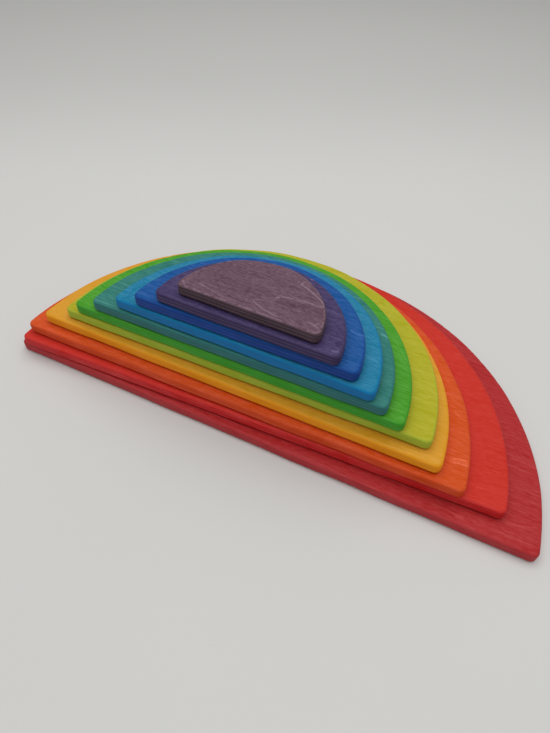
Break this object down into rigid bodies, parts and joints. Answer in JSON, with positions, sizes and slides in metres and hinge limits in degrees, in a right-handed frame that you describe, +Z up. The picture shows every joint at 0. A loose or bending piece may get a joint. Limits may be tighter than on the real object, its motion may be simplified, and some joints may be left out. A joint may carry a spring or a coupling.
{
  "type": "stacking half-disc board set",
  "caption": "Loose stack of graded half-round plywood boards in rainbow stains, longest at the bottom; each board lifts off to build with.",
  "frame": {"origin": "on the table, under the middle of the stack's box", "axes": "+X along the straight edge of the bottom board, +Y from its straight edge towards its round side, +Z up"},
  "size_m": [0.36, 0.1813, 0.091],
  "materials": {
    "crimson_stain": "matte water stain on sanded plywood",
    "scarlet_stain": "matte water stain on sanded plywood",
    "orange_stain": "matte water stain on sanded plywood",
    "golden_stain": "matte water stain on sanded plywood",
    "lime_stain": "matte water stain on sanded plywood",
    "green_stain": "matte water stain on sanded plywood",
    "teal_stain": "matte water stain on sanded plywood",
    "sky_stain": "matte water stain on sanded plywood",
    "blue_stain": "matte water stain on sanded plywood",
    "violet_stain": "matte water stain on sanded plywood",
    "plum_stain": "matte water stain on sanded plywood, worn paler at the rim"
  },
  "bodies": {
    "crimson_board": {"crimson_board": "crimson_stain"},
    "scarlet_board": {"scarlet_board": "scarlet_stain"},
    "orange_board": {"orange_board": "orange_stain"},
    "golden_board": {"golden_board": "golden_stain"},
    "lime_board": {"lime_board": "lime_stain"},
    "green_board": {"green_board": "green_stain"},
    "teal_board": {"teal_board": "teal_stain"},
    "sky_board": {"sky_board": "sky_stain"},
    "blue_board": {"blue_board": "blue_stain"},
    "violet_board": {"violet_board": "violet_stain"},
    "plum_board": {"plum_board": "plum_stain"}
  },
  "joints": [
    {"name": "scarlet_lift", "type": "slide", "parent": "crimson_board", "child": "scarlet_board", "axis": [0, 0, 1], "range_m": [0, 0.05]},
    {"name": "orange_lift", "type": "slide", "parent": "scarlet_board", "child": "orange_board", "axis": [0, 0, 1], "range_m": [0, 0.05]},
    {"name": "golden_lift", "type": "slide", "parent": "orange_board", "child": "golden_board", "axis": [0, 0, 1], "range_m": [0, 0.05]},
    {"name": "lime_lift", "type": "slide", "parent": "golden_board", "child": "lime_board", "axis": [0, 0, 1], "range_m": [0, 0.05]},
    {"name": "green_lift", "type": "slide", "parent": "lime_board", "child": "green_board", "axis": [0, 0, 1], "range_m": [0, 0.05]},
    {"name": "teal_lift", "type": "slide", "parent": "green_board", "child": "teal_board", "axis": [0, 0, 1], "range_m": [0, 0.05]},
    {"name": "sky_lift", "type": "slide", "parent": "teal_board", "child": "sky_board", "axis": [0, 0, 1], "range_m": [0, 0.05]},
    {"name": "blue_lift", "type": "slide", "parent": "sky_board", "child": "blue_board", "axis": [0, 0, 1], "range_m": [0, 0.05]},
    {"name": "violet_lift", "type": "slide", "parent": "blue_board", "child": "violet_board", "axis": [0, 0, 1], "range_m": [0, 0.05]},
    {"name": "plum_lift", "type": "slide", "parent": "violet_board", "child": "plum_board", "axis": [0, 0, 1], "range_m": [0, 0.05]}
  ]
}
